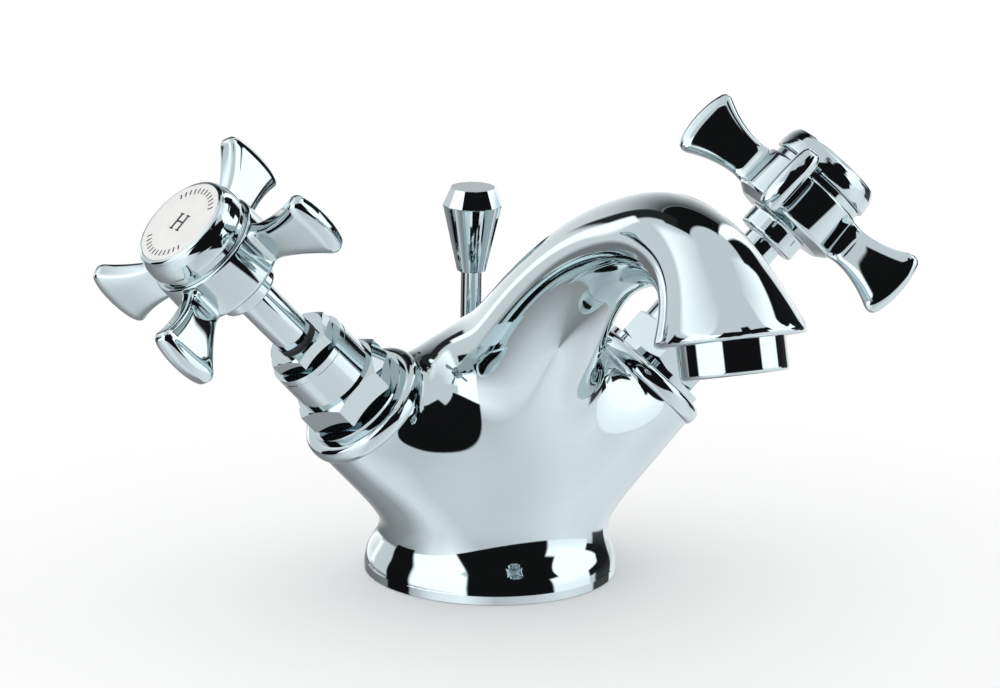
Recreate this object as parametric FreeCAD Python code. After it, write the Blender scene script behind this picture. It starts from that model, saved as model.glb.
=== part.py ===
import FreeCAD, Part
import math
import os

os.makedirs("parts", exist_ok=True)
Vector = FreeCAD.Vector

# Frame: millimetres, +Z up, origin at the middle of the base on the deck.
# The spout points to -Y, the hot valve stands at -X and the cold valve at +X.
HOT = -1
COLD = 1
UP = Vector(0, 0, 1)
ACROSS = Vector(1, 0, 0)
BACK = Vector(0, 1, 0)

# Cuts run past the faces that they open by this length
overrun = 1.0

# Clearances
running_clearance = 0.06
seat_clearance = 0.10
disc_film = 0.02

# Cast body: foot, stem and spout
base_radius = 30.0
base_edge_height = 2.0
waist_radius = 24.6
waist_height = 13.5
spout_reach = 120.4
spout_crest_height = 101.8
throat_radius = 10.3
rim_radius = 16.9
rim_round = 1.6
outlet_tilt = 18.0
blend_radius = 6.0
foot_rise_shares = (0.0, 0.25, 0.50, 0.75, 1.0)
foot_flare_shares = (1.0, 0.85, 0.52, 0.19, 0.0)
spine_reach_shares = (
    0.0, 0.0, 0.012, 0.058, 0.135, 0.233, 0.345, 0.470, 0.621, 0.772, 0.874, 0.937, 0.978, 1.0)
stem_rise_shares = (0.346, 0.458, 0.605, 0.803, 1.0)
arch_rise_shares = (0.262, 0.527, 0.746, 0.918, 1.0, 0.963, 0.879, 0.767, 0.681)
stem_taper_shares = (0.986, 0.965, 0.867, 0.690, 0.460, 0.285, 0.140, 0.040, 0.0)
bell_flare_shares = (0.03, 0.12, 0.36, 0.72, 1.0)
bell_turn_shares = (0.0, 0.0, 0.32, 0.60, 1.0)
section_points = 16

# Cast body: the yoke, whose two arms leave the stem as a V and carry the valves
valve_tilt = 45.8
valve_sweep = 5.24
valve_origin_y = -3.7
valve_origin_z = 8.1
arm_neck_length = 7.29
arm_radius = 15.0
yoke_root_height = 4.0
yoke_ridge_share = 1.07
yoke_width_share = 0.80
yoke_under_shares = (0.24, 0.43, 0.66, 0.87, 1.0)
yoke_top_shares = (0.34, 0.62, 0.84, 0.95, 1.0)
yoke_rise_shares = (0.90, 0.62, 0.28, 0.08, 0.0)
yoke_flank_shares = (1.0, 0.95, 0.66, 0.22, 0.0)
collar_radius = 16.0
collar_height = 4.4
collar_round = 2.0

# Cast body: recess, ports and waterways
recess_wall = 7.5
recess_depth = 6.0
inlet_spread = 10.5
inlet_radius = 4.5
inlet_depth = 10.0
stud_offset = 14.5
stud_hole_radius = 3.4
stud_hole_depth = 16.0
waterway_radius = 6.5
waterway_skipped_points = 3
port_skipped_points = 4
supply_radius = 3.8
outlet_port_depth = 3.3
chamber_radius = 9.4
chamber_depth = 12.3

# Base seal in its groove under the foot
seal_groove_inset = 2.4
seal_groove_width = 2.2
seal_groove_depth = 1.2

# Lift rod, its bush and its knob
rod_offset = 13.2
rod_radius = 2.5
rod_foot_height = 1.5
rod_bore_clearance = 0.35
bush_radius = 4.2
bush_height = 14.0
knob_foot_height = 69.9
knob_skirt_height = 16.2
knob_bevel_height = 4.1
knob_foot_radius = 3.4
knob_girth_radius = 7.2
knob_top_radius = 5.35
knob_facets = 12
rod_spigot_radius = 2.0
rod_spigot_length = 8.0

# Headwork: the valve shell that screws into the arm
shell_flange_radius = 13.3
shell_flange_height = 1.6
shell_hex_flats = 21.5
shell_hex_height = 7.3
shell_barrel_radius = 9.8
shell_barrel_height = 8.8
shell_skirt_radius = 8.0
shell_thread_length = 5.0
hex_corners = 6
hex_chamfer_angle = 30.0
window_width = 5.0
window_height = 3.4

# Headwork: seat seal, ceramic discs and driver
seat_seal_height = 2.0
seat_seal_radius = 6.9
seat_seal_bore = 4.4
disc_radius = 6.9
disc_height = 2.6
disc_port_radius = 2.0
disc_port_offset = 3.6
driver_radius = 6.2
driver_height = 3.8
driver_tab_width = 2.4
driver_tab_height = 1.2
tang_thickness = 3.0
tang_width = 7.0
tang_height = 2.4

# Headwork: spindle, seals and gland
spindle_radius = 4.1
spindle_guide_radius = 5.0
spindle_shoulder_radius = 5.9
spindle_shoulder_height = 1.2
o_ring_wire_radius = 0.7
o_ring_inset = 0.02
o_ring_stations = (4.0, 9.0)
o_ring_groove_width = 1.6
o_ring_groove_depth = 1.45
thrust_ring_height = 1.8
gland_spigot_radius = 6.9
gland_spigot_length = 5.0
gland_flange_radius = 9.7
gland_flange_height = 1.7
gland_hex_flats = 15.0
gland_hex_height = 4.0
wiper_radius = 4.8
wiper_height = 1.5
wiper_seat_depth = 0.6

# Crosshead handle
exposed_spindle = 17.5
neck_radius = 7.6
neck_height = 6.5
hub_radius = 10.8
hub_height = 11.0
hub_round = 2.6
band_radius = 12.4
band_height = 2.0
handle_spigot_radius = 8.5
handle_spigot_height = 2.8
boss_radius = 5.2
boss_reach = 15.2
boss_round = 1.2
paddle_root_height = 10.0
paddle_waist_height = 10.2
paddle_waist_reach = 17.5
paddle_end_height = 20.2
paddle_end_reach = 30.6
paddle_tip_reach = 33.0
paddle_thickness = 5.6
paddle_corner_radius = 3.0
paddle_edge_radius = 2.2
paddle_count = 4
handle_turn_angle = 40.0

# Spline, bush and fixing screw inside the crosshead
spline_teeth = 20
spline_tip_radius = 4.0
spline_root_radius = 3.6
spline_length = 10.5
spline_bush_radius = 5.6
screw_thread_radius = 1.9
screw_thread_length = 11.0
screw_head_radius = 3.6
screw_head_height = 2.4
screw_slot_width = 1.0
screw_slot_depth = 1.0
screw_seat_height = 2.4

# Cap and index disc on the handle
cap_radius = 13.0
cap_height = 6.0
cap_round = 3.4
cap_web_height = 1.4
cap_crown_radius = 12.1
cap_crown_round = 0.85
index_radius = 11.0
index_thickness = 1.5

# Aerator in the spout outlet
aerator_radius = 11.9
aerator_drop = 7.6
aerator_round = 0.8
aerator_thread_radius = 10.9
aerator_thread_length = 6.0
aerator_bore = 9.4
aerator_lip_bore = 8.4
aerator_lip_height = 1.2
insert_height = 9.0
insert_floor = 1.6
insert_wall = 1.2
insert_hole_radius = 0.9
insert_hole_pitch = 2.6
insert_hole_circles = 3
insert_holes_per_circle = 6
washer_thickness = 1.5
washer_bore = 8.4

# The arms clear the stem by their neck, and the stem bends level with their mouths
recess_radius = base_radius - recess_wall
seal_groove_radius = base_radius - seal_groove_inset
tilt_rise = math.sin(math.radians(valve_tilt))
tilt_run = math.cos(math.radians(valve_tilt))
axis_run = tilt_run * math.cos(math.radians(valve_sweep))
shoulder_share = stem_taper_shares[len(stem_rise_shares) - 1]
shoulder_radius = throat_radius + (waist_radius - throat_radius) * shoulder_share
arm_length = (shoulder_radius + arm_neck_length + arm_radius * tilt_rise) / axis_run
shoulder_height = valve_origin_z + arm_length * tilt_rise + arm_radius * tilt_run

# Stations along a valve axis, from the point where the two axes meet
chamber_floor = arm_length - chamber_depth
shell_skirt_foot = chamber_floor + seat_seal_height
outlet_port_station = arm_length - outlet_port_depth
collar_top = arm_length + collar_height
hex_foot = collar_top + shell_flange_height
barrel_foot = hex_foot + shell_hex_height
barrel_top = barrel_foot + shell_barrel_height
gland_hex_foot = barrel_top + gland_flange_height
gland_top = gland_hex_foot + gland_hex_height
neck_foot = gland_top + exposed_spindle
hub_foot = neck_foot + neck_height
hub_top = hub_foot + hub_height
band_top = hub_top + band_height
cap_top = band_top + cap_height
paddle_plane = (hub_foot + hub_top) / 2
disc_joint = shell_skirt_foot + disc_height
driver_foot = disc_joint + disc_film + disc_height
driver_top = driver_foot + driver_height
shoulder_top = driver_top + spindle_shoulder_height
guide_foot = shoulder_top + seat_clearance
gland_spigot_foot = barrel_top - gland_spigot_length
thrust_ring_foot = gland_spigot_foot - thrust_ring_height
guide_top = thrust_ring_foot - seat_clearance
spline_top = hub_top - screw_seat_height
spline_foot = spline_top - spline_length


def cylinder(radius, foot, top):
    """Round bar about the local Z axis."""
    return Part.makeCylinder(radius, top - foot, Vector(0, 0, foot))


def ring(outer, inner, foot, top):
    """Round bar with a bore that runs past both ends."""
    return cylinder(outer, foot, top).cut(cylinder(inner, foot - overrun, top + overrun))


def polygon(radius, corners, height, turn=0):
    """Closed wire of a regular polygon, given by its corner radius."""
    points = []
    for corner in range(corners + 1):
        angle = math.radians(turn) + 2 * math.pi * corner / corners
        points.append(Vector(radius * math.cos(angle), radius * math.sin(angle), height))
    return Part.makePolygon(points)


def revolved(points):
    """Solid of revolution about Z from (radius, height) points."""
    corners = [Vector(radius, 0, height) for radius, height in points]
    return Part.Face(Part.makePolygon(corners + corners[:1])).revolve(Vector(0, 0, 0), UP, 360)


def hexagon(flats, foot, top):
    """Hexagon nut with both of its ends chamfered by a cone."""
    corner_radius = flats / math.sqrt(3)
    drop = (corner_radius - flats / 2) * math.tan(math.radians(hex_chamfer_angle))
    prism = Part.Face(polygon(corner_radius, hex_corners, foot)).extrude(Vector(0, 0, top - foot))
    cone = revolved([
        (0, foot), (flats / 2, foot), (corner_radius, foot + drop),
        (corner_radius, top - drop), (flats / 2, top), (0, top)])
    return prism.common(cone)


def circle_edges(shape, radius, height):
    """Round edges of a shape at one radius and height about Z."""
    found = []
    for edge in shape.Edges:
        curve = edge.Curve
        if isinstance(curve, Part.Circle) and abs(curve.Radius - radius) < seat_clearance / 10:
            if abs(curve.Center.z - height) < seat_clearance / 10:
                found.append(edge)
    return found


def smooth_ring(points):
    """Closed smooth wire through points."""
    curve = Part.BSplineCurve()
    curve.interpolate(points, PeriodicFlag=True)
    return Part.Wire([curve.toShape()])


def valve_placement(side):
    """Local Z along one valve axis, local X up and towards the stem on the cold side."""
    tilt = math.radians(valve_tilt)
    sweep = math.radians(valve_sweep)
    along = Vector(
        side * math.cos(tilt) * math.cos(sweep), -math.cos(tilt) * math.sin(sweep), math.sin(tilt))
    upward = along.cross(BACK)
    upward.normalize()
    rotation = FreeCAD.Rotation(upward, along.cross(upward), along, "ZXY")
    return FreeCAD.Placement(Vector(0, valve_origin_y, valve_origin_z), rotation)


def on_valve(shape, side):
    """Copy of a shape modelled about Z, set on one valve axis."""
    placed = shape.copy()
    placed.Placement = valve_placement(side).multiply(placed.Placement)
    return placed


def turned(shape, angle):
    """Copy of a shape turned about Z."""
    copy = shape.copy()
    copy.rotate(Vector(0, 0, 0), UP, angle)
    return copy


def outlet_placement():
    """Local Z out of the spout, from the middle of its rim."""
    tilt = math.radians(outlet_tilt)
    along = Vector(0, -math.sin(tilt), -math.cos(tilt))
    return FreeCAD.Placement(spine_points()[-1], FreeCAD.Rotation(ACROSS, along.cross(ACROSS), along, "ZXY"))


def at_outlet(shape):
    """Copy of a shape modelled about Z, set on the outlet axis."""
    placed = shape.copy()
    placed.Placement = outlet_placement().multiply(placed.Placement)
    return placed


def spine_points():
    """Middle line of the stem and spout, from the waist to the rim."""
    arch_height = spout_crest_height - shoulder_height
    heights = [shoulder_height * share for share in stem_rise_shares]
    heights += [shoulder_height + arch_height * share for share in arch_rise_shares]
    return [
        Vector(0, -spout_reach * reach, height)
        for reach, height in zip(spine_reach_shares, heights)]


def spine_directions(points):
    """Direction of the middle line at each of its points."""
    directions = []
    for index in range(len(points)):
        ahead = points[min(index + 1, len(points) - 1)]
        behind = points[max(index - 1, 0)]
        direction = ahead - behind
        direction.normalize()
        directions.append(direction)
    directions[0] = UP
    tilt = math.radians(outlet_tilt)
    outlet = Vector(0, -math.sin(tilt), -math.cos(tilt))
    first_bell = len(points) - len(bell_turn_shares)
    for index, share in enumerate(bell_turn_shares):
        mixed = directions[first_bell + index] * (1 - share) + outlet * share
        mixed.normalize()
        directions[first_bell + index] = mixed
    return directions


def spine_radii():
    """Radius of the stem and spout at each point of the middle line."""
    stem = [throat_radius + (waist_radius - throat_radius) * share for share in stem_taper_shares]
    bell = [throat_radius + (rim_radius - throat_radius) * share for share in bell_flare_shares]
    return stem + bell


def section(middle, direction, radius):
    """Round section square to a direction, with its seam at the back or on top."""
    points = []
    for step in range(section_points):
        angle = 2 * math.pi * step / section_points
        points.append(Vector(-radius * math.sin(angle), radius * math.cos(angle), 0))
    wire = smooth_ring(points)
    rotation = FreeCAD.Rotation(ACROSS, direction.cross(ACROSS), direction, "ZXY")
    wire.Placement = FreeCAD.Placement(middle, rotation)
    return wire


def stem_and_spout():
    """One loft from the rolled foot through the stem to the bell-shaped outlet."""
    wires = []
    for rise, flare in zip(foot_rise_shares, foot_flare_shares):
        height = base_edge_height + (waist_height - base_edge_height) * rise
        wires.append(section(Vector(0, 0, height), UP, waist_radius + (base_radius - waist_radius) * flare))
    points = spine_points()
    for point, direction, radius in zip(points, spine_directions(points), spine_radii()):
        wires.append(section(point, direction, radius))
    return Part.makeLoft(wires, True, False)


def mirrored(shape):
    """Copy of a shape on the other side of the middle plane."""
    return shape.mirror(Vector(0, 0, 0), ACROSS)


def oval(under, top, half_width, across):
    """Oval wire between its lowest and highest point, with its seam at the lowest."""
    middle = (under + top) / 2
    half_height = (top - under) / 2
    points = []
    for step in range(section_points):
        angle = 2 * math.pi * step / section_points
        points.append(middle - half_height * math.cos(angle) + across * half_width * math.sin(angle))
    return smooth_ring(points)


def yoke():
    """One loft from arm to arm through the stem, round where the valves screw in."""
    valve = valve_placement(COLD)
    across = valve.Rotation.multVec(BACK)
    mouth_top = valve.multVec(Vector(arm_radius, 0, arm_length))
    root_width = waist_radius * yoke_width_share
    root = Vector(0, valve_origin_y, yoke_root_height)
    ridge = Vector(0, valve_origin_y, shoulder_height * yoke_ridge_share)
    arm = []
    rows = zip(yoke_under_shares, yoke_top_shares, yoke_rise_shares, yoke_flank_shares)
    for station, way, rise, flank in rows:
        under = valve.multVec(Vector(-arm_radius, 0, arm_length * station))
        top = ridge + (mouth_top - ridge) * way
        top.z = mouth_top.z + (ridge.z - mouth_top.z) * rise
        half_width = arm_radius + (root_width - arm_radius) * flank
        arm.append(oval(under, top, half_width, across))
    middle = oval(root, ridge, root_width, BACK)
    return Part.makeLoft([mirrored(wire) for wire in reversed(arm)] + [middle] + arm, True, False)


def valve_collar(side):
    """Rounded ring round the mouth of a valve arm."""
    collar = cylinder(collar_radius, arm_length, collar_top)
    edges = circle_edges(collar, collar_radius, arm_length) + circle_edges(collar, collar_radius, collar_top)
    return on_valve(collar.makeFillet(collar_round, edges), side)


def blend_edges(shape):
    """Edges where the yoke runs into the stem."""
    seams = []
    for edge in shape.Edges:
        faces = shape.ancestorsOfType(edge, Part.Face)
        freeform = [face for face in faces if isinstance(face.Surface, Part.BSplineSurface)]
        if len(freeform) == 2 and not edge.isSeam(faces[0]):
            seams.append(edge)
    return seams


def waterway():
    """Passage from the mixing chamber to the outlet."""
    points = spine_points()
    stations = list(zip(points, spine_directions(points)))
    wires = [
        section(point, direction, waterway_radius)
        for point, direction in stations[waterway_skipped_points:]]
    return Part.makeLoft(wires, True, False)


def valve_cuts(side):
    """Valve chamber, its supply from the inlet and its port to the waterway."""
    chamber = cylinder(chamber_radius, chamber_floor, collar_top + overrun)
    start = inlet_spread / axis_run
    supply = cylinder(supply_radius, start, chamber_floor + overrun)
    placement = valve_placement(side)
    meeting = placement.multVec(Vector(0, 0, start))
    inlet = Part.makeCylinder(
        inlet_radius, inlet_depth, Vector(meeting.x, meeting.y, recess_depth))
    riser = Part.makeCylinder(
        supply_radius, meeting.z - recess_depth, Vector(meeting.x, meeting.y, recess_depth))
    port_start = placement.multVec(Vector(0, 0, outlet_port_station))
    port_path = spine_points()[port_skipped_points] - port_start
    port = Part.makeCylinder(supply_radius, port_path.Length, port_start, port_path)
    return [on_valve(chamber, side), on_valve(supply, side), inlet, riser, port]


def body_casting():
    """Cast brass body: foot, stem, two valve arms and spout in one piece."""
    edge = Part.Face(section(Vector(0, 0, base_edge_height), UP, base_radius))
    foot = edge.extrude(Vector(0, 0, -base_edge_height))
    freeform = stem_and_spout().fuse(yoke()).removeSplitter()
    freeform = freeform.makeFillet(blend_radius, blend_edges(freeform))
    outlet = spine_points()[-1]
    rims = [edge for edge in freeform.Edges if (edge.CenterOfMass - outlet).Length < rim_round]
    freeform = freeform.makeFillet(rim_round, rims)
    body = freeform.fuse([foot, valve_collar(HOT), valve_collar(COLD)])
    cuts = [Part.makeCylinder(recess_radius, recess_depth)]
    cuts.append(ring(
        seal_groove_radius + seal_groove_width / 2, seal_groove_radius - seal_groove_width / 2,
        -overrun, seal_groove_depth))
    cuts += valve_cuts(HOT) + valve_cuts(COLD)
    cuts.append(waterway())
    cuts.append(Part.makeCylinder(
        stud_hole_radius, stud_hole_depth, Vector(0, -stud_offset, recess_depth)))
    cuts.append(Part.makeCylinder(
        rod_radius + rod_bore_clearance, spout_crest_height, Vector(0, rod_offset, 0)))
    cuts.append(Part.makeCylinder(
        bush_radius, bush_height, Vector(0, rod_offset, recess_depth)))
    washer_seat = -aerator_thread_length - washer_thickness
    cuts.append(at_outlet(cylinder(aerator_thread_radius + seat_clearance, washer_seat, overrun)))
    return body.cut(cuts)


def base_seal():
    """Rubber ring in the groove under the foot."""
    half = seal_groove_width / 2 - seat_clearance
    return ring(seal_groove_radius + half, seal_groove_radius - half, 0, seal_groove_depth)


def rod_bush():
    """Plastic bush that guides the lift rod."""
    bush = ring(
        bush_radius - seat_clearance, rod_radius + running_clearance,
        recess_depth, recess_depth + bush_height)
    bush.translate(Vector(0, rod_offset, 0))
    return bush


def lift_rod():
    """Rod of the pop-up waste with a spigot for its knob."""
    rod = cylinder(rod_radius, rod_foot_height, knob_foot_height)
    spigot = cylinder(rod_spigot_radius, knob_foot_height, knob_foot_height + rod_spigot_length)
    rod = rod.fuse(spigot)
    rod.translate(Vector(0, rod_offset, 0))
    return rod


def lift_knob():
    """Faceted knob: a tapered skirt under a bevelled crown."""
    girth = knob_foot_height + knob_skirt_height
    top = girth + knob_bevel_height
    half_turn = 180 / knob_facets
    foot_wire = polygon(knob_foot_radius, knob_facets, knob_foot_height, half_turn)
    girth_wire = polygon(knob_girth_radius, knob_facets, girth, half_turn)
    top_wire = polygon(knob_top_radius, knob_facets, top, half_turn)
    knob = Part.makeLoft([foot_wire, girth_wire], True, True)
    knob = knob.fuse(Part.makeLoft([girth_wire, top_wire], True, True))
    hole_top = knob_foot_height + rod_spigot_length + seat_clearance
    knob = knob.cut(cylinder(rod_spigot_radius + seat_clearance, knob_foot_height - overrun, hole_top))
    knob.translate(Vector(0, rod_offset, 0))
    return knob


def valve_shell():
    """Headwork shell: skirt, thread, flange, hexagon and barrel."""
    thread_foot = collar_top - shell_thread_length
    shell = cylinder(shell_skirt_radius, shell_skirt_foot, collar_top)
    shell = shell.fuse([
        cylinder(chamber_radius - seat_clearance, thread_foot, collar_top),
        cylinder(shell_flange_radius, collar_top, hex_foot),
        hexagon(shell_hex_flats, hex_foot, barrel_foot),
        cylinder(shell_barrel_radius, barrel_foot, barrel_top)])
    pocket = disc_radius + seat_clearance
    window = Part.makeBox(
        2 * chamber_radius, window_width, window_height,
        Vector(-chamber_radius, -window_width / 2, driver_foot))
    return shell.cut([
        cylinder(pocket, shell_skirt_foot - overrun, shoulder_top + seat_clearance),
        cylinder(spindle_guide_radius + running_clearance, shell_skirt_foot, barrel_top),
        cylinder(gland_spigot_radius + seat_clearance, thrust_ring_foot, barrel_top + overrun),
        window])


def seat_seal():
    """Rubber ring between the chamber floor and the fixed disc."""
    return ring(seat_seal_radius, seat_seal_bore, chamber_floor, shell_skirt_foot)


def ceramic_disc(foot, port_angle):
    """Ceramic disc with two opposite water ports."""
    disc = cylinder(disc_radius, foot, foot + disc_height)
    for turn in (0, 180):
        angle = math.radians(port_angle + turn)
        place = Vector(
            disc_port_offset * math.cos(angle), disc_port_offset * math.sin(angle), foot - overrun)
        disc = disc.cut(Part.makeCylinder(disc_port_radius, disc_height + 2 * overrun, place))
    return disc


def driver_tabs(growth):
    """Bar that keys the driver into the turning disc, square to the ports."""
    reach = driver_radius + growth
    half = driver_tab_width / 2 + growth
    return Part.makeBox(
        2 * reach, 2 * half, driver_tab_height + growth,
        Vector(-reach, -half, driver_foot - driver_tab_height - growth))


def tang(growth):
    """Flat end of the spindle that turns the driver."""
    width = tang_width + 2 * growth
    thickness = tang_thickness + 2 * growth
    return Part.makeBox(
        thickness, width, tang_height + growth,
        Vector(-thickness / 2, -width / 2, driver_top - tang_height - growth))


def turning_disc():
    """Upper ceramic disc, shut at rest: its ports stand square to the fixed ones."""
    return ceramic_disc(disc_joint + disc_film, 90).cut(driver_tabs(seat_clearance))


def driver():
    """Plastic driver between the spindle and the turning disc."""
    piece = cylinder(driver_radius, driver_foot, driver_top).fuse(driver_tabs(0))
    return piece.cut(tang(seat_clearance))


def spline_star(tip, root, foot, top):
    """Toothed bar with straight flanks."""
    points = []
    for step in range(2 * spline_teeth + 1):
        radius = root if step % 2 else tip
        angle = math.pi * step / spline_teeth
        points.append(Vector(radius * math.cos(angle), radius * math.sin(angle), foot))
    return Part.Face(Part.makePolygon(points)).extrude(Vector(0, 0, top - foot))


def spindle():
    """Valve spindle: tang, shoulder, sealed guide, shank and splined end."""
    piece = tang(0).fuse([
        cylinder(spindle_shoulder_radius, driver_top, shoulder_top),
        cylinder(spindle_guide_radius, shoulder_top, guide_top),
        cylinder(spindle_radius, guide_top, spline_foot),
        spline_star(spline_tip_radius, spline_root_radius, spline_foot, spline_top)])
    for station in o_ring_stations:
        middle = guide_foot + station
        piece = piece.cut(ring(
            spindle_guide_radius + overrun, spindle_guide_radius - o_ring_groove_depth,
            middle - o_ring_groove_width / 2, middle + o_ring_groove_width / 2))
    return piece.cut(cylinder(
        screw_thread_radius + seat_clearance, spline_top - screw_thread_length, spline_top + overrun))


def spindle_seals():
    """Two rubber rings in the grooves of the spindle."""
    wire_middle = spindle_guide_radius + o_ring_inset - o_ring_wire_radius
    return Part.makeCompound([
        Part.makeTorus(wire_middle, o_ring_wire_radius, Vector(0, 0, guide_foot + station))
        for station in o_ring_stations])


def thrust_ring():
    """Low-friction ring that holds the spindle down under the gland."""
    return ring(
        gland_spigot_radius, spindle_radius + running_clearance, thrust_ring_foot, gland_spigot_foot)


def gland_nut():
    """Gland nut that closes the top of the barrel."""
    nut = cylinder(gland_spigot_radius, gland_spigot_foot, barrel_top)
    nut = nut.fuse([
        cylinder(gland_flange_radius, barrel_top, gland_hex_foot),
        hexagon(gland_hex_flats, gland_hex_foot, gland_top)])
    return nut.cut([
        cylinder(spindle_radius + running_clearance, gland_spigot_foot - overrun, gland_top + overrun),
        cylinder(wiper_radius, gland_top - wiper_seat_depth, gland_top + overrun)])


def wiper_ring():
    """Rubber ring that wipes the spindle above the gland."""
    foot = gland_top - wiper_seat_depth
    return ring(wiper_radius, spindle_radius + running_clearance, foot, foot + wiper_height)


def paddle():
    """Fishtail paddle of the crosshead, pointing along +X, flared along the axis."""
    root = boss_reach - boss_round
    under = [
        Vector(root, 0, paddle_plane - paddle_root_height / 2),
        Vector(paddle_waist_reach, 0, paddle_plane - paddle_waist_height / 2),
        Vector(paddle_end_reach, 0, paddle_plane - paddle_end_height / 2)]
    over = [Vector(point.x, 0, 2 * paddle_plane - point.z) for point in under]
    lower = Part.BSplineCurve()
    lower.interpolate(under)
    upper = Part.BSplineCurve()
    upper.interpolate(over)
    tip = Part.Arc(under[-1], Vector(paddle_tip_reach, 0, paddle_plane), over[-1])
    outline = Part.Wire([
        lower.toShape(), tip.toShape(), upper.toShape(),
        Part.LineSegment(over[0], under[0]).toShape()])
    blade = Part.Face(outline).extrude(Vector(0, paddle_thickness, 0))
    blade.translate(Vector(0, -paddle_thickness / 2, 0))
    corners = []
    for edge in blade.Edges:
        straight = isinstance(edge.Curve, Part.Line) and abs(edge.tangentAt(edge.FirstParameter).y) > 0.5
        if straight and edge.CenterOfMass.x > paddle_waist_reach:
            corners.append(edge)
    blade = blade.makeFillet(paddle_corner_radius, corners)
    rims = []
    for edge in blade.Edges:
        flat = max(abs(vertex.Y) for vertex in edge.Vertexes) - min(abs(vertex.Y) for vertex in edge.Vertexes)
        on_face = abs(abs(edge.CenterOfMass.y) - paddle_thickness / 2) < seat_clearance
        if on_face and flat < seat_clearance and edge.CenterOfMass.x > root + seat_clearance:
            rims.append(edge)
    return blade.makeFillet(paddle_edge_radius, rims)


def boss():
    """Short round boss between the hub and a paddle."""
    bar = Part.makeCylinder(boss_radius, boss_reach, Vector(0, 0, paddle_plane), ACROSS)
    edges = [
        edge for edge in bar.Edges
        if isinstance(edge.Curve, Part.Circle) and edge.CenterOfMass.x > boss_reach / 2]
    return bar.makeFillet(boss_round, edges)


def crosshead():
    """Crosshead: neck, hub and four fishtail paddles, bored for its bush and screw."""
    hub = cylinder(hub_radius, hub_foot, hub_top)
    hub = hub.makeFillet(hub_round, circle_edges(hub, hub_radius, hub_foot))
    pieces = [
        cylinder(neck_radius, neck_foot, hub_foot),
        cylinder(band_radius, hub_top, band_top),
        cylinder(handle_spigot_radius, band_top, band_top + handle_spigot_height)]
    for index in range(paddle_count):
        angle = 360 * index / paddle_count
        pieces.append(turned(boss(), angle))
        pieces.append(turned(paddle(), angle))
    head = hub.fuse(pieces)
    return head.cut([
        cylinder(spline_bush_radius + seat_clearance, neck_foot - overrun, spline_top),
        cylinder(screw_thread_radius + seat_clearance, spline_top - overrun, hub_top + overrun),
        cylinder(screw_head_radius + seat_clearance, hub_top, band_top + handle_spigot_height + overrun)])


def spline_bush():
    """Plastic bush in the neck, with splines that grip the spindle."""
    bush = cylinder(spline_bush_radius, neck_foot, spline_top)
    star = spline_star(
        spline_tip_radius + seat_clearance, spline_root_radius + seat_clearance,
        spline_foot, spline_top + overrun)
    return bush.cut([star, cylinder(spindle_radius + seat_clearance, neck_foot - overrun, spline_foot)])


def handle_screw():
    """Slotted screw that holds the crosshead on the spindle."""
    thread_foot = spline_top - screw_thread_length + seat_clearance
    head_top = hub_top + screw_head_height
    screw = cylinder(screw_thread_radius, thread_foot, hub_top)
    screw = screw.fuse(cylinder(screw_head_radius, hub_top, head_top))
    slot = Part.makeBox(
        2 * screw_head_radius, screw_slot_width, screw_slot_depth + overrun,
        Vector(-screw_head_radius, -screw_slot_width / 2, head_top - screw_slot_depth))
    return screw.cut(slot)


def handle_cap():
    """Rounded bezel that screws on the crosshead and frames the index disc."""
    cap = cylinder(cap_radius, band_top, cap_top)
    cap = cap.makeFillet(cap_round, circle_edges(cap, cap_radius, cap_top))
    web_top = cap_top - index_thickness
    crown = cylinder(cap_crown_radius, web_top - cap_web_height, cap_top)
    cap = cap.fuse(crown.makeFillet(cap_crown_round, circle_edges(crown, cap_crown_radius, cap_top)))
    return cap.cut([
        cylinder(handle_spigot_radius + seat_clearance, band_top - overrun, web_top - cap_web_height),
        cylinder(index_radius + seat_clearance, web_top, cap_top + overrun)])


def index_disc():
    """White index disc in the cap."""
    return cylinder(index_radius, cap_top - index_thickness, cap_top)


def aerator_housing():
    """Screwed ring of the aerator with an inward lip at its mouth."""
    housing = cylinder(aerator_radius, 0, aerator_drop)
    housing = housing.makeFillet(aerator_round, circle_edges(housing, aerator_radius, aerator_drop))
    housing = housing.fuse(cylinder(aerator_thread_radius, -aerator_thread_length, 0))
    lip_foot = aerator_drop - aerator_lip_height
    return at_outlet(housing.cut([
        cylinder(aerator_bore, -aerator_thread_length - overrun, lip_foot),
        cylinder(aerator_lip_bore, -aerator_thread_length, aerator_drop + overrun)]))


def aerator_insert():
    """Plastic cup with a pierced floor that breaks up the jet."""
    floor_top = aerator_drop - aerator_lip_height
    foot = floor_top - insert_height
    cup = cylinder(aerator_bore - seat_clearance, foot, floor_top)
    cup = cup.cut(cylinder(
        aerator_bore - insert_wall, foot - overrun, floor_top - insert_floor))
    holes = []
    for circle in range(insert_hole_circles):
        count = max(1, insert_holes_per_circle * circle)
        for step in range(count):
            angle = 2 * math.pi * step / count
            reach = insert_hole_pitch * circle
            place = Vector(reach * math.cos(angle), reach * math.sin(angle), foot)
            holes.append(Part.makeCylinder(insert_hole_radius, insert_height + overrun, place))
    return at_outlet(cup.cut(holes))


def aerator_washer():
    """Rubber washer above the aerator."""
    top = -aerator_thread_length
    return at_outlet(ring(aerator_thread_radius, washer_bore, top - washer_thickness, top))


def valve_pieces():
    """Pieces of one valve, modelled about Z, by the end of their node's name."""
    return {
        "valve_shell": valve_shell(),
        "seat_seal": seat_seal(),
        "fixed_disc": ceramic_disc(shell_skirt_foot, 0),
        "turning_disc": turning_disc(),
        "disc_driver": driver(),
        "spindle": spindle(),
        "spindle_seals": spindle_seals(),
        "thrust_ring": thrust_ring(),
        "gland_nut": gland_nut(),
        "wiper_ring": wiper_ring(),
        "spline_bush": spline_bush(),
    }


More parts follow.
